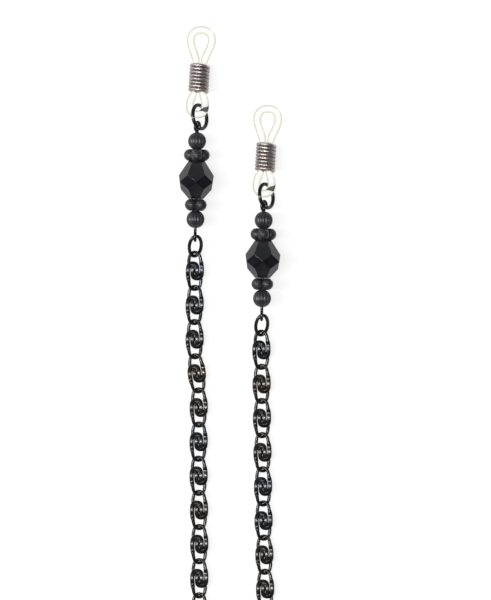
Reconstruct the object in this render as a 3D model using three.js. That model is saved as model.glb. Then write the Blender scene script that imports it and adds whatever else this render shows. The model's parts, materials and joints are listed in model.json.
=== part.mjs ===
// Beaded eyeglass chain, lying flat: two strands of scroll links, each ending in a bead pin, a jump ring
// and a clear temple loop with its coil sleeve. The middle of the chain is wound into a flat hank.
// Millimetres. X runs across the two strands, Y runs along them towards the temple loops, Z is up,
// and the surface that everything lies on is z = 0.
import * as THREE from 'three';

const FULL_TURN = 2 * Math.PI;
const DEGREE = Math.PI / 180;

// ---- driving dimensions ----
const strandOffset = 7.55; // from the middle plane to each strand's centre line
const rightStrandDrop = 17.95; // the right strand lies this much lower along Y than the left
const topJointY = 18.3; // where the left strand's first link meets its connector ring
const leftLinks = 11;
const rightLinks = 9;

const linkPitch = 7.77;
const linkWire = 0.7;
const linkArcReach = 4.3; // link centre to the wire centre of either end loop
const linkTwist = 28; // degrees that each end loop is turned about the link's length
const linkRest = 1.07; // height of a flat link's middle plane
const firstLinkRise = 5; // degrees that the first link's ring end is lifted

const ringWire = 0.75;
const connectorWidth = 3.7;
const connectorLength = 6.08;

const pinWire = 0.7;
const pinHeight = 4.37; // the widest bead's radius, so that bead rests on the surface
const lowerEyeY = 3.88; // eye centre, measured along Y from the first link's joint
const upperEyeY = 28.8;
const lowerEyeRadius = 0.92; // to the wire's centre
const upperEyeRadius = 1.04;
const upperEyeYaw = 31; // degrees that the upper eye is turned about the pin
const strandLean = 1.2; // degrees that the pin leans to the right

const beadBore = 0.62;
const roundBeadRadius = 2.05;
const spacerLobeRadius = 1.36;
const spacerLobeOffset = 1.58;

const jumpRingRadius = 2.72; // to the wire's centre

const loopTube = 1.8;
const loopLean = 3.3; // degrees that the temple loop leans to the right
const loopRise = 8.07; // degrees that its ring end is lifted off the surface
const loopEndHeight = 3.88;
const sleeveWire = 0.8;
const sleeveRadius = 2.05; // to the wire's centre
const sleevePitch = 0.9;
const sleeveTurns = 7.6;
const sleeveTravel = 2; // how far it slides towards the temple end

const chainWidth = 4.1;
const chainThickness = 2.15;
const hankTurn = 12.3; // radius of the stored chain's round ends, at the chain's middle
const hankRun = 36; // between the centres of its two round ends
const hankLayers = 3;
const tieThickness = 0.4; // the two ties pass under the hank
const leadStartY = -70.6; // where both leads start, just below the strands' last links
const touchGap = 0.3; // left between the stored chain's plain solids

// A lead's way into the hank: how far down it has come, then the shares of its shift outwards and of its rise.
const leadRoute = [
  [0, 0, 0],
  [3, 0, 0],
  [6, 0.02, 0.04],
  [9, 0.08, 0.13],
  [12, 0.18, 0.28],
  [15, 0.32, 0.48],
  [18, 0.5, 0.7],
  [20, 0.62, 0.83],
  [22, 0.73, 0.93],
  [24.5, 0.85, 1],
  [28, 0.96, 1],
  [31, 1, 1],
  [34, 1, 1],
];
const leadDrop = leadRoute.at(-1)[0];

const object = new THREE.Group();

function material(color, roughness, metalness) {
  return new THREE.MeshStandardMaterial({ color, roughness, metalness });
}

function place(name, geometry, look, parent) {
  const mesh = new THREE.Mesh(geometry, look);
  mesh.name = name;
  parent.add(mesh);
  return mesh;
}

// ---- shapes that repeat ----

// A curve stepped by its points, so closely spaced points give a fine bend and far ones a long straight.
class PointPath extends THREE.CatmullRomCurve3 {
  getPointAt(t, target) {
    return this.getPoint(t, target);
  }

  getTangentAt(t, target) {
    return this.getTangent(t, target);
  }
}

function polygon(sides, halfWidth, halfHeight = halfWidth) {
  const corner = (_, i) => {
    const angle = ((i + 0.5) / sides) * FULL_TURN;
    return new THREE.Vector2(halfWidth * Math.cos(angle), halfHeight * Math.sin(angle));
  };
  return new THREE.Shape(Array.from({ length: sides }, corner));
}

function wireThrough(points, wire, sides = 8, stepsEach = 1) {
  const extrudePath = new PointPath(points);
  const steps = (points.length - 1) * stepsEach;
  return new THREE.ExtrudeGeometry(polygon(sides, wire / 2), { steps, extrudePath, bevelEnabled: false });
}

// A closed flat loop of soft tube: an anticlockwise centre line in XY, and a half width and half height.
function closedTube(centreAt, halfSizeAt, sides, steps) {
  const geometry = new THREE.TorusGeometry(1, 0.5, sides, steps);
  const position = geometry.attributes.position;
  for (let ring = 0; ring <= sides; ring += 1) {
    for (let step = 0; step <= steps; step += 1) {
      const t = (step % steps) / steps;
      const around = ((ring % sides) / sides) * FULL_TURN;
      const centre = centreAt(t);
      const ahead = centreAt((t + 0.001) % 1).sub(centreAt((t + 0.999) % 1)).normalize();
      const [halfWidth, halfHeight] = halfSizeAt(centre);
      const out = halfWidth * Math.cos(around);
      const up = halfHeight * Math.sin(around);
      position.setXYZ(ring * (steps + 1) + step, centre.x + out * ahead.y, centre.y - out * ahead.x, up);
    }
  }
  return geometry;
}

// A turned piece on the Y axis whose radius is then shaped around the axis.
function shapedLathe(profile, segments, radiusAt) {
  const points = [...profile, profile[0]].map(([radius, y]) => new THREE.Vector2(radius, y));
  const geometry = new THREE.LatheGeometry(points, segments);
  const position = geometry.attributes.position;
  for (let i = 0; i < position.count; i += 1) {
    const radius = Math.hypot(position.getX(i), position.getZ(i));
    const column = Math.floor(i / points.length) % segments;
    const angle = (column / segments) * FULL_TURN;
    const shaped = radius > beadBore + 0.01 ? radiusAt(angle, position.getY(i), radius) : radius;
    position.setXYZ(i, shaped * Math.sin(angle), position.getY(i), shaped * Math.cos(angle));
  }
  return geometry;
}

// ---- chain link: one wire laid as four strands in front, with a loop at each end ----

function linkGeometry() {
  const slope = Math.tan(linkTwist * DEGREE);
  const loopEnd = [
    [1.36, 2.4],
    [1.36, 3.2],
    [1.2, 3.85],
    [0.66, 4.24],
  ];
  const half = [
    [-0.52, 1.38, 0.42],
    [-0.52, 0, 0.58],
    [-0.5, -1.35, 0.42],
    [-0.12, -1.78, 0.38],
    [0.52, -1.92, 0.36],
    [1.18, -1.72, 0.4],
    [1.6, -1.05, 0.5],
    [1.66, 0, 0.6],
    [1.58, 1.2, 0.66],
    ...loopEnd.map(([x, y]) => [x, y, x * slope]),
    [0, linkArcReach, 0],
    ...loopEnd.map(([x, y]) => [-x, y, -x * slope]).reverse(),
    [-1.32, 1.7, -0.62],
    [-0.85, 0.8, -0.5],
  ];
  const point = ([x, y, z]) => new THREE.Vector3(x, y, z);
  const turned = ([x, y, z]) => new THREE.Vector3(-x, -y, z);
  const middle = new THREE.Vector3(0, 0, -0.46);
  return wireThrough([...half.map(point), middle, ...half.map(turned).reverse()], linkWire, 5);
}

// ---- rings ----

// A bent wire ring in XY with its cut on the left, stretched to the given length along Y.
function ringGeometry(radiusX, radiusY) {
  const segments = 22;
  const cut = 4 * DEGREE;
  const point = (_, i) => {
    const angle = Math.PI + cut + (i / segments) * (FULL_TURN - 2 * cut);
    return new THREE.Vector3(radiusX * Math.cos(angle), radiusY * Math.sin(angle), 0);
  };
  return wireThrough(Array.from({ length: segments + 1 }, point), ringWire, 6);
}

// ---- eye pin: a shaft along Y with an eye bent at each end ----

// The eye's own plane is turned by yaw about the pin; way is +1 for the upper eye and -1 for the lower.
function eyePoints(centreY, radius, way, yaw) {
  const segments = 13;
  const first = 35 * DEGREE;
  const last = -235 * DEGREE;
  const points = [];
  const add = (across, along) => {
    points.push(new THREE.Vector3(across * Math.sin(yaw), centreY - way * along, across * Math.cos(yaw)));
  };
  for (let i = 0; i <= segments; i += 1) {
    const angle = first + (i / segments) * (last - first);
    add(radius * Math.cos(angle), radius * Math.sin(angle));
  }
  add(-0.2 * radius, 1.22 * radius);
  add(0, 1.7 * radius);
  add(0, 2.2 * radius);
  return points;
}

function pinGeometry() {
  const lower = eyePoints(lowerEyeY, lowerEyeRadius, -1, 0);
  const upper = eyePoints(upperEyeY, upperEyeRadius, 1, upperEyeYaw * DEGREE);
  return wireThrough([...lower, ...upper.reverse()], pinWire, 6);
}

// ---- beads, all bored along Y ----

function roundBeadGeometry() {
  const flutes = 16;
  const rise = Math.acos(beadBore / roundBeadRadius);
  const bands = 4;
  const profile = Array.from({ length: bands + 1 }, (_, i) => {
    const angle = -rise + (i / bands) * 2 * rise;
    return [roundBeadRadius * Math.cos(angle), roundBeadRadius * Math.sin(angle)];
  });
  const fluted = (angle, _, radius) => radius * (1 - 0.025 * (1 + Math.cos(flutes * angle)));
  return shapedLathe(profile, 2 * flutes, fluted);
}

// Four round lobes around a core; the first lobe lies at firstLobe degrees from +Z.
function spacerGeometry(firstLobe) {
  const profile = [
    [beadBore, -1.05],
    [1.4, -1.28],
    [2, -0.95],
    [2, 0],
    [2, 0.95],
    [1.4, 1.28],
    [beadBore, 1.05],
  ];
  const quarter = FULL_TURN / 4;
  const lobed = (angle, y) => {
    const turned = angle - firstLobe * DEGREE;
    const aside = turned - quarter * Math.round(turned / quarter);
    const reach = spacerLobeRadius ** 2 - y ** 2 - (spacerLobeOffset * Math.sin(aside)) ** 2;
    return Math.max(1.45, spacerLobeOffset * Math.cos(aside) + Math.sqrt(Math.max(0, reach)));
  };
  return shapedLathe(profile, 24, lobed);
}

// Six-sided cut bead: a tall crown, a girdle of six diamonds and a shorter base.
function facetedBeadGeometry() {
  const rings = [
    { radius: beadBore, y: -4.2, turn: 0 },
    { radius: 1.7, y: -4.2, turn: 0 },
    { radius: 3.5, y: -2.2, turn: 0 },
    { radius: 4.33, y: -0.55, turn: 1 },
    { radius: 3.97, y: 1.05, turn: 2 },
    { radius: 1.85, y: 4.25, turn: 2 },
    { radius: beadBore, y: 4.25, turn: 2 },
  ];
  const sides = 6;
  const points = [...rings, rings[0]].map((ring) => new THREE.Vector2(ring.radius, ring.y));
  const geometry = new THREE.LatheGeometry(points, sides);
  const position = geometry.attributes.position;
  for (let i = 0; i < position.count; i += 1) {
    const ring = rings[(i % points.length) % rings.length];
    const column = Math.floor(i / points.length);
    const halfSteps = 2 * column + 1 - ring.turn;
    const angle = (halfSteps % (2 * sides)) * (Math.PI / sides);
    position.setXYZ(i, ring.radius * Math.sin(angle), ring.y, ring.radius * Math.cos(angle));
  }
  return geometry;
}

// ---- temple loop and coil sleeve; y = 0 at the loop's ring end, and the axis runs along Y ----

const sleeveFrom = 5.75; // where the sleeve starts above the loop's ring end
const sleeveLength = sleeveTurns * sleevePitch;
const loopHalf = [
  [0, 0.9],
  [0.95, 1.15],
  [1.6, 2.1],
  [1.72, 3.1],
  [1.4, 4.2],
  [0.85, 5.1],
  [0.72, 5.7],
  [0.72, 10],
  [0.72, 14.75],
  [1.25, 15.7],
  [2.05, 16.8],
  [2.4, 18],
  [2.1, 19.25],
  [1.2, 20.17],
  [0, 20.45],
];

function templeLoopGeometry() {
  const right = loopHalf.map(([x, y]) => new THREE.Vector3(x, y, 0));
  const left = loopHalf.slice(1, -1).map(([x, y]) => new THREE.Vector3(-x, y, 0));
  const centreLine = new THREE.CatmullRomCurve3([...right, ...left.reverse()], true);
  const squeeze = (y) => {
    const top = sleeveFrom + sleeveLength + sleeveTravel;
    const below = THREE.MathUtils.smoothstep(y, sleeveFrom - 1.2, sleeveFrom - 0.2);
    const above = THREE.MathUtils.smoothstep(y, top + 0.2, top + 1.2);
    return below - above;
  };
  const halfSizeAt = (centre) => [
    loopTube / 2 - 0.24 * squeeze(centre.y),
    loopTube / 2 + 0.1 * squeeze(centre.y),
  ];
  return closedTube((t) => centreLine.getPoint(t), halfSizeAt, 8, 44);
}

function sleeveGeometry() {
  const stepsPerTurn = 10;
  const steps = Math.round(sleeveTurns * stepsPerTurn);
  const point = (_, i) => {
    const angle = (i / stepsPerTurn) * FULL_TURN;
    const y = sleeveFrom + sleeveWire / 2 + (i / steps) * (sleeveLength - sleeveWire);
    return new THREE.Vector3(sleeveRadius * Math.cos(angle), y, sleeveRadius * Math.sin(angle));
  };
  return wireThrough(Array.from({ length: steps + 1 }, point), sleeveWire, 6);
}

// ---- one strand: links from the coil's side up to the temple loop ----

const blackWire = () => material(0x2e2b2c, 0.42, 0.85);
const blackCast = () => material(0x353238, 0.5, 0.7);
const jetGlass = () => material(0x1c1b22, 0.16, 0.1);
const clearRubber = () => material(0xeceae2, 0.25, 0);
const bareSteel = () => material(0x8d8683, 0.35, 0.95);

// How far each link joint lies to the right of a straight strand, from the first joint downwards.
const sway = {
  left: [0, 0, -0.1, 0, 0.85, 0.9, 0.8, 0.9, 1, 1, 1, 0.95],
  right: [0, 0.05, 0.1, 0.2, 0.35, 0.45, 0.6, 0.8, 0.95, 1],
};

function strand(side, jointX, jointY, links) {
  const jointAt = (i) => new THREE.Vector3(jointX + sway[side][i], jointY - i * linkPitch, linkRest);
  const lift = new THREE.Vector3(0, 0, linkPitch * Math.sin(firstLinkRise * DEGREE));
  for (let i = 0; i < links; i += 1) {
    const upper = i === 0 ? jointAt(0).add(lift) : jointAt(i);
    const lower = jointAt(i + 1);
    const along = upper.clone().sub(lower);
    const link = place(`${side}_link_${String(i + 1).padStart(2, '0')}`, linkGeometry(), blackWire(), object);
    link.position.copy(upper).add(lower).multiplyScalar(0.5);
    link.rotation.order = 'ZXY';
    link.rotation.z = Math.atan2(-along.x, along.y);
    link.rotation.x = Math.atan2(along.z, Math.hypot(along.x, along.y));
  }

  const end = new THREE.Group();
  end.position.set(jointX, jointY, 0);
  end.rotation.z = -strandLean * DEGREE;
  object.add(end);

  const connector = ringGeometry((connectorWidth - ringWire) / 2, (connectorLength - ringWire) / 2);
  const ring = place(`${side}_connector_ring`, connector, blackWire(), end);
  ring.position.set(0.07, 1.73, 2.85);
  ring.rotation.order = 'ZXY';
  ring.rotation.set(33.9 * DEGREE, 23.6 * DEGREE, 0);

  const pin = new THREE.Group();
  pin.position.z = pinHeight;
  end.add(pin);
  place(`${side}_eye_pin`, pinGeometry(), blackWire(), pin);
  const beads = [
    ['lower_round_bead', roundBeadGeometry(), blackCast(), 7.8],
    ['lower_spacer', spacerGeometry(45), blackCast(), 11.05],
    ['faceted_bead', facetedBeadGeometry(), jetGlass(), 16.7],
    ['upper_spacer', spacerGeometry(0), blackCast(), 22.35],
    ['upper_round_bead', roundBeadGeometry(), blackCast(), 25.52],
  ];
  for (const [name, geometry, look, y] of beads) place(`${side}_${name}`, geometry, look, pin).position.y = y;

  const jumpRing = place(`${side}_jump_ring`, ringGeometry(jumpRingRadius, jumpRingRadius), blackWire(), end);
  jumpRing.position.set(0.49, 31.07, 3.25);
  jumpRing.rotation.order = 'ZYX';
  jumpRing.rotation.set(0, 56.4 * DEGREE, 10.7 * DEGREE);

  const loop = new THREE.Group();
  loop.position.set(-0.19, 30.7, loopEndHeight);
  loop.rotation.order = 'ZXY';
  loop.rotation.set(-loopRise * DEGREE, 0, -(loopLean - strandLean) * DEGREE);
  end.add(loop);
  place(`${side}_temple_loop`, templeLoopGeometry(), clearRubber(), loop);
  place(`${side}_coil_sleeve`, sleeveGeometry(), bareSteel(), loop);
}

// ---- the rest of the chain, wound flat into a hank: one layer on another, with a round end at each end ----

// The middle line of a lead, from a strand's last joint to just short of the hank.
// side is -1 for the left strand, which joins the lowest layer, and +1 for the right, which joins the highest.
function leadPoints(side, startX, startY, middleX) {
  const half = Math.abs(startX - middleX);
  const layer = side < 0 ? 0 : hankLayers - 1;
  const rise = tieThickness + layer * chainThickness;
  const clear = hankTurn + chainWidth / 2 + touchGap;
  const points = [new THREE.Vector3(startX, startY - linkWire - touchGap, linkRest)];
  for (const [down, outShare, riseShare] of leadRoute) {
    const out = half + outShare * (hankTurn - half);
    const isClear = Math.hypot(out - chainWidth / 2, leadDrop - down) > clear;
    const point = new THREE.Vector3(middleX + side * out, leadStartY - down, linkRest + riseShare * rise);
    if (isClear) points.push(point);
  }
  return points;
}

function lead(name, points) {
  const extrudePath = new PointPath(points);
  const section = polygon(8, chainThickness / 2, chainWidth / 2);
  const geometry = new THREE.ExtrudeGeometry(section, { steps: points.length - 1, extrudePath });
  place(name, geometry, blackWire(), object);
}

function roundEnded(outline, radius) {
  outline.absarc(0, 0, radius, 0, Math.PI, false);
  outline.absarc(0, -hankRun, radius, Math.PI, FULL_TURN, false);
  outline.closePath();
  return outline;
}

function storedChain() {
  const leftX = -strandOffset + sway.left[leftLinks];
  const rightX = strandOffset + sway.right[rightLinks];
  const middleX = (leftX + rightX) / 2;
  const leftY = topJointY - leftLinks * linkPitch;
  const rightY = topJointY - rightStrandDrop - rightLinks * linkPitch;
  lead('left_chain_lead', leadPoints(-1, leftX, leftY, middleX));
  lead('right_chain_lead', leadPoints(1, rightX, rightY, middleX));

  const outline = roundEnded(new THREE.Shape(), hankTurn + chainWidth / 2);
  outline.holes.push(roundEnded(new THREE.Path(), hankTurn - chainWidth / 2));
  const depth = tieThickness + hankLayers * chainThickness;
  const geometry = new THREE.ExtrudeGeometry(outline, { depth, bevelEnabled: false, curveSegments: 20 });
  const hank = place('stored_chain_hank', geometry, blackWire(), object);
  hank.position.set(middleX, leadStartY - leadDrop, 0);
}

strand('left', -strandOffset, topJointY, leftLinks);
strand('right', strandOffset, topJointY - rightStrandDrop, rightLinks);
storedChain();

// The origin is under the middle of the two strands' footprint; the stored chain doesn't count.
object.updateMatrixWorld(true);
const footprint = new THREE.Box3();
object.traverse((mesh) => {
  if (mesh.isMesh && !/hank$|lead$/.test(mesh.name)) footprint.expandByObject(mesh, true);
});
const middle = footprint.getCenter(new THREE.Vector3());
object.position.set(-middle.x, -middle.y, -footprint.min.z);
object.updateMatrixWorld(true);

export default object;
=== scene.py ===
"""Looks for the beaded eyeglass chain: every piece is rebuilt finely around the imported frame.

Piece shapes are in millimetres, in the piece's own axes, and are placed in metres by to_world().
A piece's own Y runs along its strand towards the temple loop, and its X is level.
"""
import json
import math

import bmesh
import bpy
import numpy as np
from mathutils import Matrix, Vector


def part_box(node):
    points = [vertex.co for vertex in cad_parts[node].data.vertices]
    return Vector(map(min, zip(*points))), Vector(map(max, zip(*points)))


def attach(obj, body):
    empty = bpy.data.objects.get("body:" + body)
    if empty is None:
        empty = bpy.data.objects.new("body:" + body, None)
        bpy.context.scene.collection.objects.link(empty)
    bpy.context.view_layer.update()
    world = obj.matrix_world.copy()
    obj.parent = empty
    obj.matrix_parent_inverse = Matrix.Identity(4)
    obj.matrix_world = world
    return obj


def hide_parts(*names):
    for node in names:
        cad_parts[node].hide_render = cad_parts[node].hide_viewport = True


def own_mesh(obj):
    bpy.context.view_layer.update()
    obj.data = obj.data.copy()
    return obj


MM = 0.001
TURN = 2 * math.pi

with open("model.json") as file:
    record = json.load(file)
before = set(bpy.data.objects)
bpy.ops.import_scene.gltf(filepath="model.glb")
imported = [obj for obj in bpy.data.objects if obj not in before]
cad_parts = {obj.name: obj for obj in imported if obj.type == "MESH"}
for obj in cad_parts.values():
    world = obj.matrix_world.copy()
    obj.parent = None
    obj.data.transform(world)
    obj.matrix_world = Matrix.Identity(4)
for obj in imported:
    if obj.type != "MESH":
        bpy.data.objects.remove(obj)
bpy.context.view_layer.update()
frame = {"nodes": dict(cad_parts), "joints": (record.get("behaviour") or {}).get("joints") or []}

# ---- sizes in millimetres, as the frame has them ----

SIDES = {"left": 11, "right": 9}  # links in each strand
LINK_PITCH = 7.77
LINK_WIRE = 0.39  # wire radius in the link's end loops
LINK_BEND_WIRE = 0.355  # where it is drawn thinner round their ends
BARREL_WIRE = 0.5  # and where the four front strands lie side by side
END_LOOP_TILT = math.radians(25)
RING_WIRE = 0.4
JUMP_RING_WIRE = 0.43
PIN_WIRE = 0.35
LOWER_EYE_Y = 3.88
UPPER_EYE_Y = 28.8
LOWER_EYE_RADIUS = 0.92
UPPER_EYE_RADIUS = 1.04
UPPER_EYE_YAW = math.radians(31)
BEAD_BORE = 0.62
ROUND_BEAD_RADIUS = 2.05
LOBE_RADIUS = 1.36
LOBE_OFFSET = 1.58
JUMP_RING_RADIUS = 2.72
CONNECTOR_RADII = (1.475, 2.665)
LOOP_CUT = 9.2  # inside the coil, where the loop's two visible parts meet
SLEEVE_FROM = 5.75  # from the loop's ring end, along the loop
SLEEVE_WIRE = 0.39
SLEEVE_RADIUS = 1.96
SLEEVE_PITCH = 0.9
SLEEVE_TURNS = 7.6
LOOP_TUBE = 0.9

CHAIN_WIDTH = 4.1
CHAIN_THICKNESS = 2.15
LINK_REST = 1.07  # height of a flat link's middle plane
HANK_TURN = 12.3  # radius of the stored chain's round ends
HANK_LAYERS = 3
TIE_THICKNESS = 0.4

# A lead's way into the hank: how far down it has come, then the shares of its shift
# outwards and of its rise.
LEAD_ROUTE = [
    (0, 0, 0),
    (3, 0, 0),
    (6, 0.02, 0.04),
    (9, 0.08, 0.13),
    (12, 0.18, 0.28),
    (15, 0.32, 0.48),
    (18, 0.5, 0.7),
    (20, 0.62, 0.83),
    (22, 0.73, 0.93),
    (24.5, 0.85, 1),
    (28, 0.96, 1),
    (31, 1, 1),
    (34, 1, 1),
]


# ---- small helpers ----


def axes(origin, along, level=None):
    """A placement in metres whose Y is along; X is level, or as near to level as it can be."""
    y = Vector(along).normalized()
    x = y.cross(Vector((0, 0, 1))).normalized() if level is None else Vector(level).normalized()
    z = x.cross(y).normalized()
    turn = Matrix((x, y, z)).transposed().to_4x4()
    return Matrix.Translation(Vector(origin)) @ turn @ Matrix.Scale(MM, 4)


def joint(name):
    return next(j for j in frame["joints"] if j["name"] == name)


def joint_place(name):
    return Vector(joint(name)["pos_m"])


def node_points(node):
    mesh = frame["nodes"][node].data
    return np.array([v.co for v in mesh.vertices], float)


def smooth(t):
    t = min(1, max(0, t))
    return t * t * (3 - 2 * t)


def through(points, per_span, closed=False):
    """Points on a Catmull-Rom curve through the given ones."""
    pts = [np.array(p, float) for p in points]
    count = len(pts)
    if closed:
        spans = count
        ring = pts
    else:
        spans = count - 1
        ring = [2 * pts[0] - pts[1], *pts, 2 * pts[-1] - pts[-2]]
    out = []
    for i in range(spans):
        if closed:
            a, b, c, d = (ring[(i + k) % count] for k in (-1, 0, 1, 2))
        else:
            a, b, c, d = ring[i : i + 4]
        for step in range(per_span):
            t = step / per_span
            straight = 2 * b + (c - a) * t
            bend = (2 * a - 5 * b + 4 * c - d) * t * t + (3 * b - a - 3 * c + d) * t**3
            out.append((straight + bend) / 2)
    if not closed:
        out.append(pts[-1])
    return np.array(out)


def spread(points, gap):
    """The same line with its points an even gap apart."""
    lengths = np.r_[0, np.cumsum(np.linalg.norm(np.diff(points, axis=0), axis=1))]
    count = max(2, round(lengths[-1] / gap) + 1)
    at = np.linspace(0, lengths[-1], count)
    return np.stack([np.interp(at, lengths, points[:, k]) for k in range(3)], axis=1)


def relaxed(points, passes=10):
    """The same line with its small corners eased, its ends kept."""
    line = points.copy()
    for _ in range(passes):
        line[1:-1] = (line[:-2] + 2 * line[1:-1] + line[2:]) / 4
    return line


def section_frames(points):
    """Tangent and two cross directions at each point, turned as little as possible along the line."""
    tangents = np.gradient(points, axis=0)
    tangents /= np.linalg.norm(tangents, axis=1)[:, None]
    start = np.array([0, 0, 1.0]) if abs(tangents[0][2]) < 0.9 else np.array([1.0, 0, 0])
    normal = start - tangents[0] * (start @ tangents[0])
    normals = [normal / np.linalg.norm(normal)]
    for tangent in tangents[1:]:
        normal = normals[-1] - tangent * (normals[-1] @ tangent)
        normals.append(normal / np.linalg.norm(normal))
    normals = np.array(normals)
    return tangents, normals, np.cross(tangents, normals)


def add_tube(mesh, points, radius_at, sides):
    """A tube in a bmesh, whose radius may change along it; its cut ends are slightly rounded."""
    _, normals, sides_out = section_frames(points)
    stations = []
    for i, point in enumerate(points):
        stations.append((point, normals[i], sides_out[i], radius_at(point)))
    for end, step in ((0, 1), (-1, -1)):
        point, normal, side, radius = stations[end]
        way = point - points[end + step]
        way = way / np.linalg.norm(way)
        caps = []
        for out, share in ((0.16, 0.93), (0.26, 0.74)):
            caps.append((point + way * out * radius, normal, side, radius * share))
        stations = [*reversed(caps), *stations] if end == 0 else [*stations, *caps]
    rings = []
    for point, normal, side, radius in stations:
        ring = []
        for k in range(sides):
            angle = TURN * k / sides
            place = point + radius * (math.cos(angle) * normal + math.sin(angle) * side)
            ring.append(mesh.verts.new(place))
        rings.append(ring)
    for low, high in zip(rings, rings[1:]):
        for k in range(sides):
            n = (k + 1) % sides
            mesh.faces.new((low[k], low[n], high[n], high[k]))
    mesh.faces.new(list(reversed(rings[0])))
    mesh.faces.new(rings[-1])


def to_mesh(name, fill, smooth_shade=True):
    """A mesh made by fill(bmesh), with faces pointing out."""
    shape = bmesh.new()
    fill(shape)
    bmesh.ops.recalc_face_normals(shape, faces=shape.faces)
    mesh = bpy.data.meshes.new(name)
    shape.to_mesh(mesh)
    shape.free()
    for face in mesh.polygons:
        face.use_smooth = smooth_shade
    return mesh


def piece(name, mesh, place, body, node, look):
    """One visible piece: it rides on its body, stands for its CAD node and wears its look."""
    made = bpy.data.objects.new(name, mesh)
    bpy.context.scene.collection.objects.link(made)
    made.matrix_world = place
    if not mesh.materials:
        mesh.materials.append(look)
    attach(made, body)
    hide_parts(node)
    return made


# ---- camera: straight down, as the photograph was taken ----

CAMERA_HEIGHT = 1.2
FOCUS_HEIGHT = 0.002  # the height at which the view is measured
VIEW_HEIGHT = 0.13636  # what the picture's height spans on the chain
CAMERA_RIGHT = 0.00396  # of the middle between the two connector rings
CAMERA_BELOW = 0.0107  # the left connector ring's joint
SENSOR = 36.0


def make_camera():
    left = joint_place("left_connector_ring_swing")
    right = joint_place("right_connector_ring_swing")
    data = bpy.data.cameras.new("camera")
    data.sensor_width = SENSOR
    data.lens = SENSOR * (CAMERA_HEIGHT - FOCUS_HEIGHT) / VIEW_HEIGHT
    data.clip_end = 10
    camera = bpy.data.objects.new("camera", data)
    bpy.context.scene.collection.objects.link(camera)
    middle = (left.x + right.x) / 2
    camera.location = (middle + CAMERA_RIGHT, left.y - CAMERA_BELOW, CAMERA_HEIGHT)
    bpy.context.scene.camera = camera


# ---- procedural materials ----


def new_material(name):
    material = bpy.data.materials.new(name)
    material.use_nodes = True
    nodes, links = material.node_tree.nodes, material.node_tree.links
    shader = nodes["Principled BSDF"]
    return material, nodes, links, shader


def noise(nodes, links, scale, detail=3.0, stretch=(1, 1, 1), fourth=None):
    """Noise in the piece's own millimetres, stretched along its axes."""
    where = nodes.new("ShaderNodeTexCoord")
    mapping = nodes.new("ShaderNodeMapping")
    mapping.inputs["Scale"].default_value = stretch
    links.new(where.outputs["Object"], mapping.inputs["Vector"])
    texture = nodes.new("ShaderNodeTexNoise")
    texture.inputs["Scale"].default_value = scale
    texture.inputs["Detail"].default_value = detail
    links.new(mapping.outputs["Vector"], texture.inputs["Vector"])
    if fourth is not None:
        texture.noise_dimensions = "4D"
        links.new(fourth, texture.inputs["W"])
    return texture


def ramp(nodes, links, value, stops):
    made = nodes.new("ShaderNodeValToRGB")
    elements = made.color_ramp.elements
    for element, (at, colour) in zip(elements, stops):
        element.position = at
        element.color = (*colour, 1)
    for at, colour in stops[2:]:
        element = elements.new(at)
        element.color = (*colour, 1)
    links.new(value, made.inputs["Fac"])
    return made


def spread_value(nodes, links, value, low, high):
    made = nodes.new("ShaderNodeMapRange")
    made.inputs["To Min"].default_value = low
    made.inputs["To Max"].default_value = high
    links.new(value, made.inputs["Value"])
    return made


def bump(nodes, links, value, distance, strength, shader):
    made = nodes.new("ShaderNodeBump")
    made.inputs["Strength"].default_value = strength
    made.inputs["Distance"].default_value = distance
    links.new(value, made.inputs["Height"])
    links.new(made.outputs["Normal"], shader.inputs["Normal"])


def black_wire_look():
    """Black plated wire: satin, from blue-black to brown-black between links, with fine draw marks."""
    material, nodes, links, shader = new_material("black_plated_wire")
    per_piece = nodes.new("ShaderNodeObjectInfo").outputs["Random"]
    stops = [(0.1, (0.038, 0.041, 0.047)), (0.5, (0.044, 0.043, 0.043)), (0.9, (0.056, 0.048, 0.042))]
    tint = ramp(nodes, links, per_piece, stops)
    blotch = noise(nodes, links, 0.55, 4, fourth=per_piece)
    stops = [(0.3, (0.45, 0.45, 0.45)), (0.75, (1.2, 1.2, 1.2))]
    wear = ramp(nodes, links, blotch.outputs["Fac"], stops)
    colour = nodes.new("ShaderNodeMix")
    colour.data_type = "RGBA"
    colour.blend_type = "MULTIPLY"
    colour.inputs["Factor"].default_value = 1
    links.new(tint.outputs["Color"], colour.inputs["A"])
    links.new(wear.outputs["Color"], colour.inputs["B"])
    links.new(colour.outputs["Result"], shader.inputs["Base Color"])
    shader.inputs["Metallic"].default_value = 0.85
    grain = noise(nodes, links, 3.2, 5, (1, 0.35, 1), fourth=per_piece)
    rough = spread_value(nodes, links, grain.outputs["Fac"], 0.16, 0.28)
    links.new(rough.outputs["Result"], shader.inputs["Roughness"])
    bump(nodes, links, grain.outputs["Fac"], 0.000015, 0.3, shader)
    return material


def cast_bead_look():
    """Black oxidised cast metal: softer than the wire, with a fine cast grain."""
    material, nodes, links, shader = new_material("black_cast_metal")
    blotch = noise(nodes, links, 0.8, 4)
    stops = [(0.35, (0.030, 0.029, 0.034)), (0.7, (0.056, 0.052, 0.055))]
    colour = ramp(nodes, links, blotch.outputs["Fac"], stops)
    links.new(colour.outputs["Color"], shader.inputs["Base Color"])
    shader.inputs["Metallic"].default_value = 0.6
    grain = noise(nodes, links, 6.5, 4)
    rough = spread_value(nodes, links, grain.outputs["Fac"], 0.28, 0.46)
    links.new(rough.outputs["Result"], shader.inputs["Roughness"])
    bump(nodes, links, grain.outputs["Fac"], 0.00005, 0.5, shader)
    return material


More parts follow.
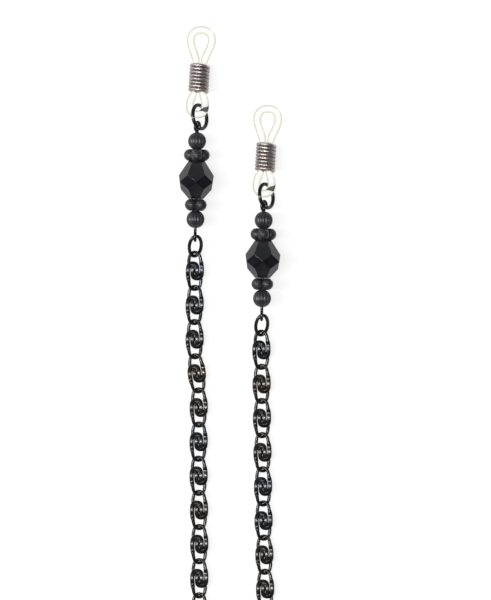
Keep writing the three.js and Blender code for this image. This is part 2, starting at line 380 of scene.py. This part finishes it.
def jet_glass_look():
    """Opaque jet glass, fire-polished: nearly black, with faint depth and a high polish."""
    material, nodes, links, shader = new_material("jet_cut_glass")
    depth = noise(nodes, links, 0.35, 3)
    stops = [(0.35, (0.0045, 0.0045, 0.0065)), (0.7, (0.011, 0.0105, 0.0135))]
    colour = ramp(nodes, links, depth.outputs["Fac"], stops)
    links.new(colour.outputs["Color"], shader.inputs["Base Color"])
    shader.inputs["IOR"].default_value = 1.52
    shader.inputs["Specular IOR Level"].default_value = 0.24
    polish = noise(nodes, links, 2.4, 3)
    rough = spread_value(nodes, links, polish.outputs["Fac"], 0.07, 0.17)
    links.new(rough.outputs["Result"], shader.inputs["Roughness"])
    bump(nodes, links, polish.outputs["Fac"], 0.00003, 0.2, shader)
    return material


def steel_look():
    """Bare spring wire: gun-metal steel with draw marks along the wire and a faint warm tarnish."""
    material, nodes, links, shader = new_material("bare_spring_steel")
    tarnish = noise(nodes, links, 0.7, 4)
    stops = [(0.3, (0.30, 0.268, 0.258)), (0.7, (0.46, 0.415, 0.40))]
    colour = ramp(nodes, links, tarnish.outputs["Fac"], stops)
    links.new(colour.outputs["Color"], shader.inputs["Base Color"])
    shader.inputs["Metallic"].default_value = 1.0
    marks = noise(nodes, links, 3.0, 5, (0.4, 3.2, 0.4))
    rough = spread_value(nodes, links, marks.outputs["Fac"], 0.34, 0.48)
    links.new(rough.outputs["Result"], shader.inputs["Roughness"])
    bump(nodes, links, marks.outputs["Fac"], 0.00003, 0.35, shader)
    return material


def clear_rubber_look():
    """Clear soft rubber: water-white, with painted olive shade darkening it towards its edges as seen,
    and slight moulding ripples.
    """
    material, nodes, links, shader = new_material("clear_soft_rubber")
    cloud = noise(nodes, links, 0.35, 3)
    # Painted shade: the base colour darkens to olive-grey as the surface turns edge-on to the view,
    # standing in for the light's longer path through the rubber at its edges.
    facing = nodes.new("ShaderNodeLayerWeight")
    facing.inputs["Blend"].default_value = 0.5
    stops = [(0.05, (1, 1, 1)), (0.3, (0.72, 0.71, 0.58)), (0.75, (0.42, 0.42, 0.32))]
    edge = ramp(nodes, links, facing.outputs["Facing"], stops)
    stops = [(0.3, (0.97, 0.97, 0.93)), (0.7, (1.0, 1.0, 0.985))]
    body = ramp(nodes, links, cloud.outputs["Fac"], stops)
    colour = nodes.new("ShaderNodeMix")
    colour.data_type = "RGBA"
    colour.blend_type = "MULTIPLY"
    colour.inputs["Factor"].default_value = 1
    links.new(body.outputs["Color"], colour.inputs["A"])
    links.new(edge.outputs["Color"], colour.inputs["B"])
    links.new(colour.outputs["Result"], shader.inputs["Base Color"])
    shader.inputs["Transmission Weight"].default_value = 0.96
    shader.inputs["IOR"].default_value = 1.41
    ripple = noise(nodes, links, 0.8, 2)
    rough = spread_value(nodes, links, cloud.outputs["Fac"], 0.01, 0.05)
    links.new(rough.outputs["Result"], shader.inputs["Roughness"])
    bump(nodes, links, ripple.outputs["Fac"], 0.0001, 0.2, shader)
    return material


def tie_look():
    """Soft milky plastic of the band that holds the hank."""
    material, nodes, links, shader = new_material("tie_plastic")
    cloud = noise(nodes, links, 0.9, 3)
    stops = [(0.3, (0.70, 0.70, 0.67)), (0.7, (0.82, 0.82, 0.79))]
    colour = ramp(nodes, links, cloud.outputs["Fac"], stops)
    links.new(colour.outputs["Color"], shader.inputs["Base Color"])
    shader.inputs["Subsurface Weight"].default_value = 0.15
    rough = spread_value(nodes, links, cloud.outputs["Fac"], 0.35, 0.5)
    links.new(rough.outputs["Result"], shader.inputs["Roughness"])
    bump(nodes, links, cloud.outputs["Fac"], 0.00005, 0.3, shader)
    return material


# ---- scroll link: one wire laid as four strands in front, with a loop at each end ----


def link_line():
    """The wire's middle line: half of it, then the same half turned about the link's middle."""
    slope = math.tan(END_LOOP_TILT)
    end = [(1.42, 2.1), (1.27, 2.9), (1.13, 3.62), (0.62, 4.17)]
    half = [
        (-0.52, 0.96, 0.44),
        (-0.52, 0.6, 0.58),
        (-0.52, 0, 0.7),
        (-0.52, -0.55, 0.58),
        (-0.52, -1.12, 0.4),
        (-0.3, -1.54, 0.32),
        (0.2, -1.71, 0.3),
        (0.85, -1.71, 0.31),
        (1.36, -1.45, 0.37),
        (1.56, -0.9, 0.5),
        (1.6, 0, 0.66),
        (1.58, 0.9, 0.57),
        (1.5, 1.6, 0.54),
        *[(x, y, x * slope) for x, y in end],
        (0, 4.3, 0),
        *[(-x, y, -x * slope) for x, y in reversed(end)],
        (-1.34, 1.5, -0.64),
        (-0.85, 0.8, -0.52),
    ]
    turned = [(-x, -y, z) for x, y, z in reversed(half)]
    return through([*half, (0, 0, -0.46), *turned], 6)


def link_wire_radius(point):
    """Thin round the ends and full in the barrel, where the wire was pressed flat side by side."""
    barrel = smooth((2.6 - abs(point[1])) / 1.0) * smooth((point[2] + 0.1) / 0.3)
    bend = smooth((abs(point[1]) - 2.8) / 0.9)
    return LINK_WIRE + (BARREL_WIRE - LINK_WIRE) * barrel - (LINK_WIRE - LINK_BEND_WIRE) * bend


def pressed(point):
    """A point's height after the barrel's front was pressed to one shallow curve.

    The press leaves the two side wires alone, where they run on from the barrel to the end loops.
    """
    die = 1.0 - point.y**2 / 7
    soft = 0.04
    over = point.z - die
    eased = over if over < -5 * soft else -soft * math.log(1 + math.exp(-over / soft))
    side_wire = smooth((point.x * math.copysign(1, point.y) - 0.95) / 0.25)
    share = 1 - max(side_wire * smooth((abs(point.y) - 0.8) / 1.2), smooth((abs(point.y) - 2.2) / 0.3))
    return point.z + (die + eased - point.z) * share


def link_mesh(name, sides, gap, eased):
    line = relaxed(spread(link_line(), gap), eased)

    def fill(mesh):
        add_tube(mesh, line, link_wire_radius, sides)
        for vert in mesh.verts:
            vert.co.z = pressed(vert.co)

    return to_mesh(name, fill)


def make_links(side, count, mesh, look):
    ends = [joint_place(f"{side}_connector_ring_swing")]
    ends += [joint_place(f"{side}_link_{i:02d}_flex") for i in range(1, count + 1)]
    for i in range(1, count + 1):
        name = f"{side}_link_{i:02d}"
        low = ends[i]
        along = (ends[i - 1] - low).normalized()
        place = axes(low + along * LINK_PITCH / 2 * MM, along)
        piece(f"{name}_scroll_wire", mesh, place, name, name, look)


# ---- the stored chain: real links along the leads and the hank ----


def hank_place():
    """The hank's middle line across, the centres of its upper and lower round ends, in mm."""
    low, high = (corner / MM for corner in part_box("stored_chain_hank"))
    edge = HANK_TURN + CHAIN_WIDTH / 2
    return (low.x + high.x) / 2, high.y - edge, low.y + edge


def layer_height(layer):
    return TIE_THICKNESS + LINK_REST + layer * CHAIN_THICKNESS


def chain_route():
    """From the left strand's last joint, round the hank, to the right strand's last joint, in mm."""
    start = joint_place(f"left_link_{SIDES['left']:02d}_flex") / MM
    finish = joint_place(f"right_link_{SIDES['right']:02d}_flex") / MM
    middle, top, bottom = hank_place()

    def lead(end, side, layer):
        half = abs(end.x - middle)
        drop = LEAD_ROUTE[-1][0]
        for down, out_share, rise_share in LEAD_ROUTE:
            out = half + out_share * (HANK_TURN - half)
            height = LINK_REST + rise_share * (layer_height(layer) - LINK_REST)
            yield (middle + side * out, top + drop - down, height)

    def round_end(centre_y, first, low, high):
        """Half a turn, anticlockwise; any change of layer is made over its middle third."""
        steps = 24
        for i in range(steps + 1):
            angle = first + math.pi * i / steps
            height = low + (high - low) * smooth((i / steps - 0.3) / 0.4)
            yield (middle + HANK_TURN * math.cos(angle), centre_y + HANK_TURN * math.sin(angle), height)

    route = [tuple(start), *lead(start, -1, 0)]
    for layer in range(HANK_LAYERS):
        height = layer_height(layer)
        if layer:
            route += round_end(top, 0, layer_height(layer - 1), height)
        route += round_end(bottom, math.pi, height, height)
    route += [*reversed(list(lead(finish, 1, HANK_LAYERS - 1))), tuple(finish)]
    return relaxed(spread(np.array(route), 1), 6)


def make_stored_chain(look):
    route = chain_route()
    length = np.linalg.norm(np.diff(route, axis=0), axis=1).sum()
    count = round(length / LINK_PITCH)
    even = spread(route, length / count / 10)
    joints = even[::10]
    coarse = link_mesh("coarse_link", 8, 0.33, 2)

    def fill(mesh):
        for upper, lower in zip(joints, joints[1:]):
            along = Vector(upper - lower)
            place = axes((upper + lower) / 2, along) @ Matrix.Scale(1 / MM, 4)
            place = place @ Matrix.Diagonal((1, along.length / LINK_PITCH, 1, 1))
            first = len(mesh.verts)
            mesh.from_mesh(coarse)
            mesh.verts.ensure_lookup_table()
            bmesh.ops.transform(mesh, matrix=place, verts=mesh.verts[first:])

    mesh = to_mesh("stored_chain_links", fill)
    place = Matrix.Scale(MM, 4)
    made = piece("stored_chain_links", mesh, place, "root", "stored_chain_hank", look)
    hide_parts("left_chain_lead", "right_chain_lead")
    ties = [make_tie(side) for side in SIDES]


def make_tie(side):
    """A soft milky band around one side of the hank, with its head on top."""
    middle, top, bottom = hank_place()
    way = -1 if side == "left" else 1
    half_width = CHAIN_WIDTH / 2 + 0.25
    low, high = TIE_THICKNESS / 2, layer_height(HANK_LAYERS - 1) + 1.2
    corner, thick, wide = 0.7, TIE_THICKNESS / 2, 1.3
    outline = []
    for x_sign, z, quarter in ((1, low, 3), (1, high, 0), (-1, high, 1), (-1, low, 2)):
        inward = corner if z == low else -corner
        for i in range(7):
            angle = (quarter + i / 6) * math.pi / 2
            x = x_sign * (half_width - corner) + corner * math.cos(angle)
            outline.append(np.array((x, 0, z + inward + corner * math.sin(angle))))

    def fill(mesh):
        rings = []
        count = len(outline)
        for i, point in enumerate(outline):
            ahead = outline[(i + 1) % count] - outline[i - 1]
            out = np.array((ahead[2], 0, -ahead[0])) / np.linalg.norm(ahead)
            ring = []
            for k in range(12):
                angle = TURN * k / 12
                square = (abs(math.cos(angle)) ** 0.4, abs(math.sin(angle)) ** 0.4)
                across = wide * math.copysign(square[0], math.cos(angle))
                proud = thick * math.copysign(square[1], math.sin(angle))
                ring.append(mesh.verts.new(point + np.array((0, across, 0)) + out * proud))
            rings.append(ring)
        for here, there in zip(rings, rings[1:] + rings[:1]):
            for k in range(12):
                n = (k + 1) % 12
                mesh.faces.new((here[k], here[n], there[n], there[k]))
        head = bmesh.ops.create_cube(mesh, size=1)["verts"]
        for vert in head:
            vert.co = Vector((vert.co.x * 2.2, vert.co.y * 3.4, vert.co.z * 0.9 + high + 0.35))
        edges = list({edge for vert in head for edge in vert.link_edges})
        bmesh.ops.bevel(mesh, geom=edges, offset=0.22, segments=3, affect="EDGES")

    mesh = to_mesh(f"hank_tie_{side}", fill)
    made = bpy.data.objects.new(f"hank_tie_{side}", mesh)
    bpy.context.scene.collection.objects.link(made)
    centre = Vector((middle + way * HANK_TURN, (top + bottom) / 2, 0)) * MM
    made.matrix_world = Matrix.Translation(centre) @ Matrix.Scale(MM, 4)
    mesh.materials.append(tie_look())
    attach(made, "root")
    return made


# ---- wire rings ----


def ring_mesh(name, radius_x, radius_y, wire, cut=math.radians(3.5)):
    """An open ring in XY, with its cut at -X and its two ends nearly meeting."""
    count = 96
    angles = [math.pi + cut + (TURN - 2 * cut) * i / count for i in range(count + 1)]
    line = np.array([(radius_x * math.cos(a), radius_y * math.sin(a), 0) for a in angles])
    return to_mesh(name, lambda mesh: add_tube(mesh, line, lambda _: wire, 16))


def ring_place(node):
    """Where a ring lies, from its solid: Y is its longest direction, or level for a round ring."""
    points = node_points(node)
    centre = points.mean(0)
    _, _, directions = np.linalg.svd(points - centre, full_matrices=False)
    normal = Vector(directions[2])
    if normal.z < 0:
        normal.negate()
    return centre, normal, Vector(directions[0])


def make_rings(side, look):
    centre, normal, longest = ring_place(f"{side}_connector_ring")
    if longest.y < 0:
        longest.negate()
    place = axes(centre, longest, longest.cross(normal))
    mesh = ring_mesh(f"{side}_connector_ring_wire", *CONNECTOR_RADII, RING_WIRE)
    node = f"{side}_connector_ring"
    piece(f"{node}_wire", mesh, place, node, node, look)

    node = f"{side}_jump_ring"
    centre, normal, _ = ring_place(node)
    level = Vector((0, 0, 1)).cross(normal)
    if level.y < 0:
        level.negate()
    place = axes(centre, level, level.cross(normal))
    mesh = ring_mesh(f"{side}_jump_ring_wire", JUMP_RING_RADIUS, JUMP_RING_RADIUS, JUMP_RING_WIRE)
    piece(f"{node}_wire", mesh, place, node, node, look)


# ---- eye pin ----


def eye_line(centre_y, radius, way, yaw):
    first, last = math.radians(35), math.radians(-235)
    steps = 26
    flat = []
    for i in range(steps + 1):
        angle = first + (last - first) * i / steps
        flat.append((radius * math.cos(angle), radius * math.sin(angle)))
    flat += [(-0.2 * radius, 1.22 * radius), (0, 1.7 * radius), (0, 2.2 * radius)]
    return [(c * math.sin(yaw), centre_y - way * along, c * math.cos(yaw)) for c, along in flat]


def pin_mesh(name):
    lower = eye_line(LOWER_EYE_Y, LOWER_EYE_RADIUS, -1, 0)
    upper = eye_line(UPPER_EYE_Y, UPPER_EYE_RADIUS, 1, UPPER_EYE_YAW)
    line = through([*lower, *reversed(upper)], 3)
    return to_mesh(name, lambda mesh: add_tube(mesh, line, lambda _: PIN_WIRE, 14))


def make_pin(side, look):
    node = f"{side}_eye_pin"
    along = joint(f"{side}_upper_round_bead_spin")["axis"]
    eye = joint_place(f"{side}_eye_pin_swing")
    place = axes(eye - Vector(along) * LOWER_EYE_Y * MM, along)
    piece(f"{node}_wire", pin_mesh(f"{side}_pin"), place, node, node, look)


# ---- beads, bored along Y ----


def lathe(profile, segments, radius_at):
    """A closed turned shape on Y; radius_at(angle, y, radius) shapes it around the axis."""

    def fill(mesh):
        columns = []
        for k in range(segments):
            angle = TURN * k / segments
            column = []
            for radius, y in profile:
                shaped = radius_at(angle, y, radius) if radius > BEAD_BORE + 0.01 else radius
                column.append(mesh.verts.new((shaped * math.sin(angle), y, shaped * math.cos(angle))))
            columns.append(column)
        count = len(profile)
        for k in range(segments):
            here, there = columns[k], columns[(k + 1) % segments]
            for i in range(count):
                n = (i + 1) % count
                mesh.faces.new((here[i], there[i], there[n], here[n]))

    return fill


def round_bead_mesh():
    """A corrugated round bead: sixteen flutes that run out at the two smooth pole collars."""
    flutes, bands = 16, 26
    rise = math.acos(BEAD_BORE / ROUND_BEAD_RADIUS)
    profile = []
    for i in range(bands + 1):
        angle = -rise + 2 * rise * i / bands
        profile.append((ROUND_BEAD_RADIUS * math.cos(angle), ROUND_BEAD_RADIUS * math.sin(angle)))

    def fluted(angle, y, radius):
        groove = (0.5 - 0.5 * math.cos(flutes * angle)) ** 1.6
        fade = smooth((radius - 0.85) / 0.6)
        return radius * (1 - 0.075 * groove * fade)

    return to_mesh("fluted_round_bead", lathe(profile, flutes * 10, fluted))


def spacer_mesh(name, first_lobe):
    """Four round lobes around a bored core, blended where they meet."""
    bands = 34
    outer = [(2.0, 1.34 * math.sin(math.pi * (i / bands - 0.5))) for i in range(bands + 1)]
    profile = [(BEAD_BORE, -1.22), (1.2, -1.31), *outer[1:-1], (1.2, 1.31), (BEAD_BORE, 1.22)]
    quarter = TURN / 4

    def lobed(angle, y, radius):
        turned = angle - first_lobe
        aside = turned - quarter * round(turned / quarter)
        reach = LOBE_RADIUS**2 - y**2 - (LOBE_OFFSET * math.sin(aside)) ** 2
        ridge = 0.022 * math.cos(TURN * y / 0.62)
        lobe = LOBE_OFFSET * math.cos(aside) + math.sqrt(max(0, reach)) + ridge
        core = math.sqrt(max(0.3, 1.5**2 - 0.55 * y * y))
        soft = 0.12
        mixed = soft * math.log(math.exp(lobe / soft) + math.exp(core / soft)) if reach > 0 else core
        return min(radius, 1.2) if radius < 1.3 else mixed

    return to_mesh(name, lathe(profile, 96, lobed))


def faceted_bead_mesh():
    """Six-sided cut bead: tall crown, a girdle of six diamonds and a shorter base, edges just eased."""
    levels = [(1.7, -4.27, 1), (3.5, -2.2, 1), (4.33, -0.55, 0), (3.97, 1.05, 1), (1.85, 4.32, 1)]

    def fill(mesh):
        for radius, y, half_step in levels:
            for k in range(6):
                angle = (k + half_step / 2) * TURN / 6
                mesh.verts.new((radius * math.sin(angle), y, radius * math.cos(angle)))
        bmesh.ops.convex_hull(mesh, input=mesh.verts)
        bmesh.ops.dissolve_limit(mesh, angle_limit=math.radians(2.5), verts=mesh.verts, edges=mesh.edges)
        sharp = [e for e in mesh.edges if e.calc_face_angle(0) > math.radians(4)]
        bmesh.ops.bevel(mesh, geom=sharp, offset=0.07, segments=2, profile=0.6, affect="EDGES")

    mesh = to_mesh("faceted_bead", fill, smooth_shade=False)
    return bored(mesh, 9)


def bored(mesh, length):
    """The same solid with a round bore along Y."""
    scene = bpy.context.scene.collection
    solid = bpy.data.objects.new("solid", mesh)
    scene.objects.link(solid)

    def rod(shape):
        lie = Matrix.Rotation(math.pi / 2, 4, "X")
        bmesh.ops.create_cone(
            shape,
            cap_ends=True,
            segments=32,
            radius1=BEAD_BORE,
            radius2=BEAD_BORE,
            depth=length,
            matrix=lie,
        )

    drill = bpy.data.objects.new("drill", to_mesh("drill", rod))
    scene.objects.link(drill)
    cut = solid.modifiers.new("bore", "BOOLEAN")
    cut.object = drill
    cut.operation = "DIFFERENCE"
    cut.solver = "EXACT"
    bpy.context.view_layer.update()
    seen = solid.evaluated_get(bpy.context.evaluated_depsgraph_get())
    result = bpy.data.meshes.new_from_object(seen)
    for thing in (solid, drill):
        bpy.data.objects.remove(thing)
    return result


def make_beads(side, meshes, looks):
    for bead, (mesh, look, slot) in meshes.items():
        node = f"{side}_{bead}"
        spin = joint(f"{node}_spin")
        piece(f"{node}_shape", mesh, axes(spin["pos_m"], spin["axis"]), node, node, looks[look])


# ---- temple loop and coil sleeve: y = 0 at the loop's ring end ----

LOOP_RIGHT = [
    (0, 0.9), (0.95, 1.13), (1.56, 1.95), (1.72, 2.9), (1.62, 3.9), (1.3, 4.9), (0.92, 5.7), (0.78, 6.6),
    (0.76, 9.2), (0.76, 11.6), (0.83, 12.7), (1.1, 13.9), (1.62, 15.3), (2.16, 16.7), (2.4, 18.0),
    (2.12, 19.3), (1.2, 20.2), (0, 20.45),
]  # fmt: skip


def loop_line():
    right = [(x, y, 0) for x, y in LOOP_RIGHT]
    left = [(-x, y, 0) for x, y in LOOP_RIGHT[1:-1]]
    return through([*right, *reversed(left)], 6, closed=True)


def loop_half(line, upper):
    """The part of the loop above or below the cut that the coil hides, from right to left."""
    above = [point[1] > LOOP_CUT for point in line]
    first = above.index(True)
    last = len(above) - above[::-1].index(True)
    if upper:
        return line[first - 1 : last + 1]
    return np.concatenate([line[last:], line[:first]])


def loop_mesh(name, line):
    """Soft tube, squeezed where the coil grips it, with both ends closed."""
    sleeve_top = SLEEVE_FROM + SLEEVE_TURNS * SLEEVE_PITCH
    tangents, _, _ = section_frames(line)
    sides = 24

    def squeeze(y):
        return smooth((y - SLEEVE_FROM + 0.9) / 1.2) - smooth((y - sleeve_top + 0.3) / 1.5)

    def fill(mesh):
        rings = []
        for point, tangent in zip(line, tangents):
            out = np.array([tangent[1], -tangent[0], 0])
            half_width = LOOP_TUBE - 0.2 * squeeze(point[1])
            half_height = LOOP_TUBE + 0.08 * squeeze(point[1])
            ring = []
            for k in range(sides):
                angle = TURN * k / sides
                side = out * half_width * math.cos(angle)
                up = np.array([0, 0, half_height * math.sin(angle)])
                ring.append(mesh.verts.new(point + side + up))
            rings.append(ring)
        for low, high in zip(rings, rings[1:]):
            for k in range(sides):
                n = (k + 1) % sides
                mesh.faces.new((low[k], low[n], high[n], high[k]))
        mesh.faces.new(list(reversed(rings[0])))
        mesh.faces.new(rings[-1])

    return to_mesh(name, fill)


def sleeve_mesh(name):
    """Close-wound spring wire, at one radius and pitch along the whole coil."""
    per_turn = 40
    steps = round(SLEEVE_TURNS * per_turn)
    length = SLEEVE_TURNS * SLEEVE_PITCH - 2 * SLEEVE_WIRE
    line = []
    for i in range(steps + 1):
        angle = TURN * i / per_turn
        y = SLEEVE_FROM + SLEEVE_WIRE + length * i / steps
        line.append((SLEEVE_RADIUS * math.cos(angle), y, SLEEVE_RADIUS * math.sin(angle)))
    return to_mesh(name, lambda mesh: add_tube(mesh, np.array(line), lambda _: SLEEVE_WIRE, 12))


def loop_place(side):
    """The temple loop's own axes, from its solid: Y along it, from the lowest of its own length."""
    along = Vector(joint(f"{side}_coil_sleeve_slide")["axis"])
    points = node_points(f"{side}_temple_loop")
    level = along.cross(Vector((0, 0, 1))).normalized()
    upright = level.cross(along)
    reach = points @ np.array(along)
    across = points @ np.array(level)
    height = points @ np.array(upright)
    origin = along * reach.min() + level * ((across.min() + across.max()) / 2)
    origin += upright * ((height.min() + height.max()) / 2)
    return axes(origin, along)


def make_end(side, looks):
    place = loop_place(side)
    node = f"{side}_temple_loop"
    line = loop_line()
    for part in ("upper", "lower"):
        mesh = loop_mesh(f"{node}_{part}", loop_half(line, part == "upper"))
        made = piece(f"{node}_{part}_rubber", mesh, place, node, node, looks["rubber"])
        # Clear rubber lets the light through to the floor, so it takes no part in lighting it.
        made.visible_shadow = False
        made.visible_diffuse = False
        if part == "upper":
            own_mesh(made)
    node = f"{side}_coil_sleeve"
    mesh = sleeve_mesh(f"{side}_sleeve")
    piece(f"{node}_spring", mesh, place, node, node, looks["steel"])


# ---- studio ----

FLOOR_HEIGHT = -0.00006
FLOOR_GREY = 0.2
FLOOR_GLOW = 0.77
WORLD_LIGHT = 0.12


def area_light(name, place, target, size, power, colour=(1, 1, 1)):
    data = bpy.data.lights.new(name, "AREA")
    data.shape = "RECTANGLE"
    data.size, data.size_y = size
    data.energy = power
    data.color = colour
    light = bpy.data.objects.new(name, data)
    bpy.context.scene.collection.objects.link(light)
    light.location = place
    light.rotation_euler = (Vector(target) - Vector(place)).to_track_quat("-Z", "Y").to_euler()


def make_studio():
    """A pale floor under a soft light tent."""
    shape = bmesh.new()
    bmesh.ops.create_grid(shape, x_segments=1, y_segments=1, size=3)
    mesh = bpy.data.meshes.new("floor")
    shape.to_mesh(mesh)
    shape.free()
    floor = bpy.data.objects.new("floor", mesh)
    bpy.context.scene.collection.objects.link(floor)
    floor.location = (0, 0, FLOOR_HEIGHT)
    material, nodes, links, shader = new_material("pale_floor")
    shader.inputs["Base Color"].default_value = (FLOOR_GREY, FLOOR_GREY, FLOOR_GREY, 1)
    shader.inputs["Roughness"].default_value = 0.9
    shader.inputs["Emission Color"].default_value = (1, 1, 1, 1)
    shader.inputs["Emission Strength"].default_value = FLOOR_GLOW
    mesh.materials.append(material)

    world = bpy.data.worlds.new("studio")
    bpy.context.scene.world = world
    world.use_nodes = True
    world.node_tree.nodes["Background"].inputs["Color"].default_value = (1, 1, 1, 1)
    world.node_tree.nodes["Background"].inputs["Strength"].default_value = WORLD_LIGHT
    bpy.context.scene.view_settings.view_transform = "Standard"
    area_light("overhead_strip", (-0.6, 0, 1.0), (-0.6, 0, 0), (1.5, 0.055), 14)
    area_light("overhead_soft", (-0.6, 0, 1.02), (-0.6, 0, 0), (1.5, 0.35), 6)
    area_light("left_key", (-0.8, 0.32, 0.4), (0, 0, 0), (0.6, 0.5), 2.4)
    area_light("low_fill", (0.2, -0.8, 0.25), (0, 0, 0), (1.2, 0.2), 0.3)
    area_light("back_fill", (0.1, 0.9, 0.5), (0, 0, 0), (0.8, 0.3), 0.5, (0.84, 0.9, 1))


# ---- build ----

make_camera()
wire = black_wire_look()
make_stored_chain(wire)
looks = {
    "wire": wire,
    "cast": cast_bead_look(),
    "glass": jet_glass_look(),
    "steel": steel_look(),
    "rubber": clear_rubber_look(),
}
link = link_mesh("scroll_link", 20, 0.14, 14)
round_bead = round_bead_mesh()
beads = {
    "lower_round_bead": (round_bead, "cast", "black_cast"),
    "lower_spacer": (spacer_mesh("lower_spacer", TURN / 8), "cast", "black_cast"),
    "faceted_bead": (faceted_bead_mesh(), "glass", "jet_glass"),
    "upper_spacer": (spacer_mesh("upper_spacer", 0), "cast", "black_cast"),
    "upper_round_bead": (round_bead, "cast", "black_cast"),
}
for side, count in SIDES.items():
    make_links(side, count, link, wire)
    make_rings(side, wire)
    make_pin(side, wire)
    make_beads(side, beads, looks)
    make_end(side, looks)
make_studio()
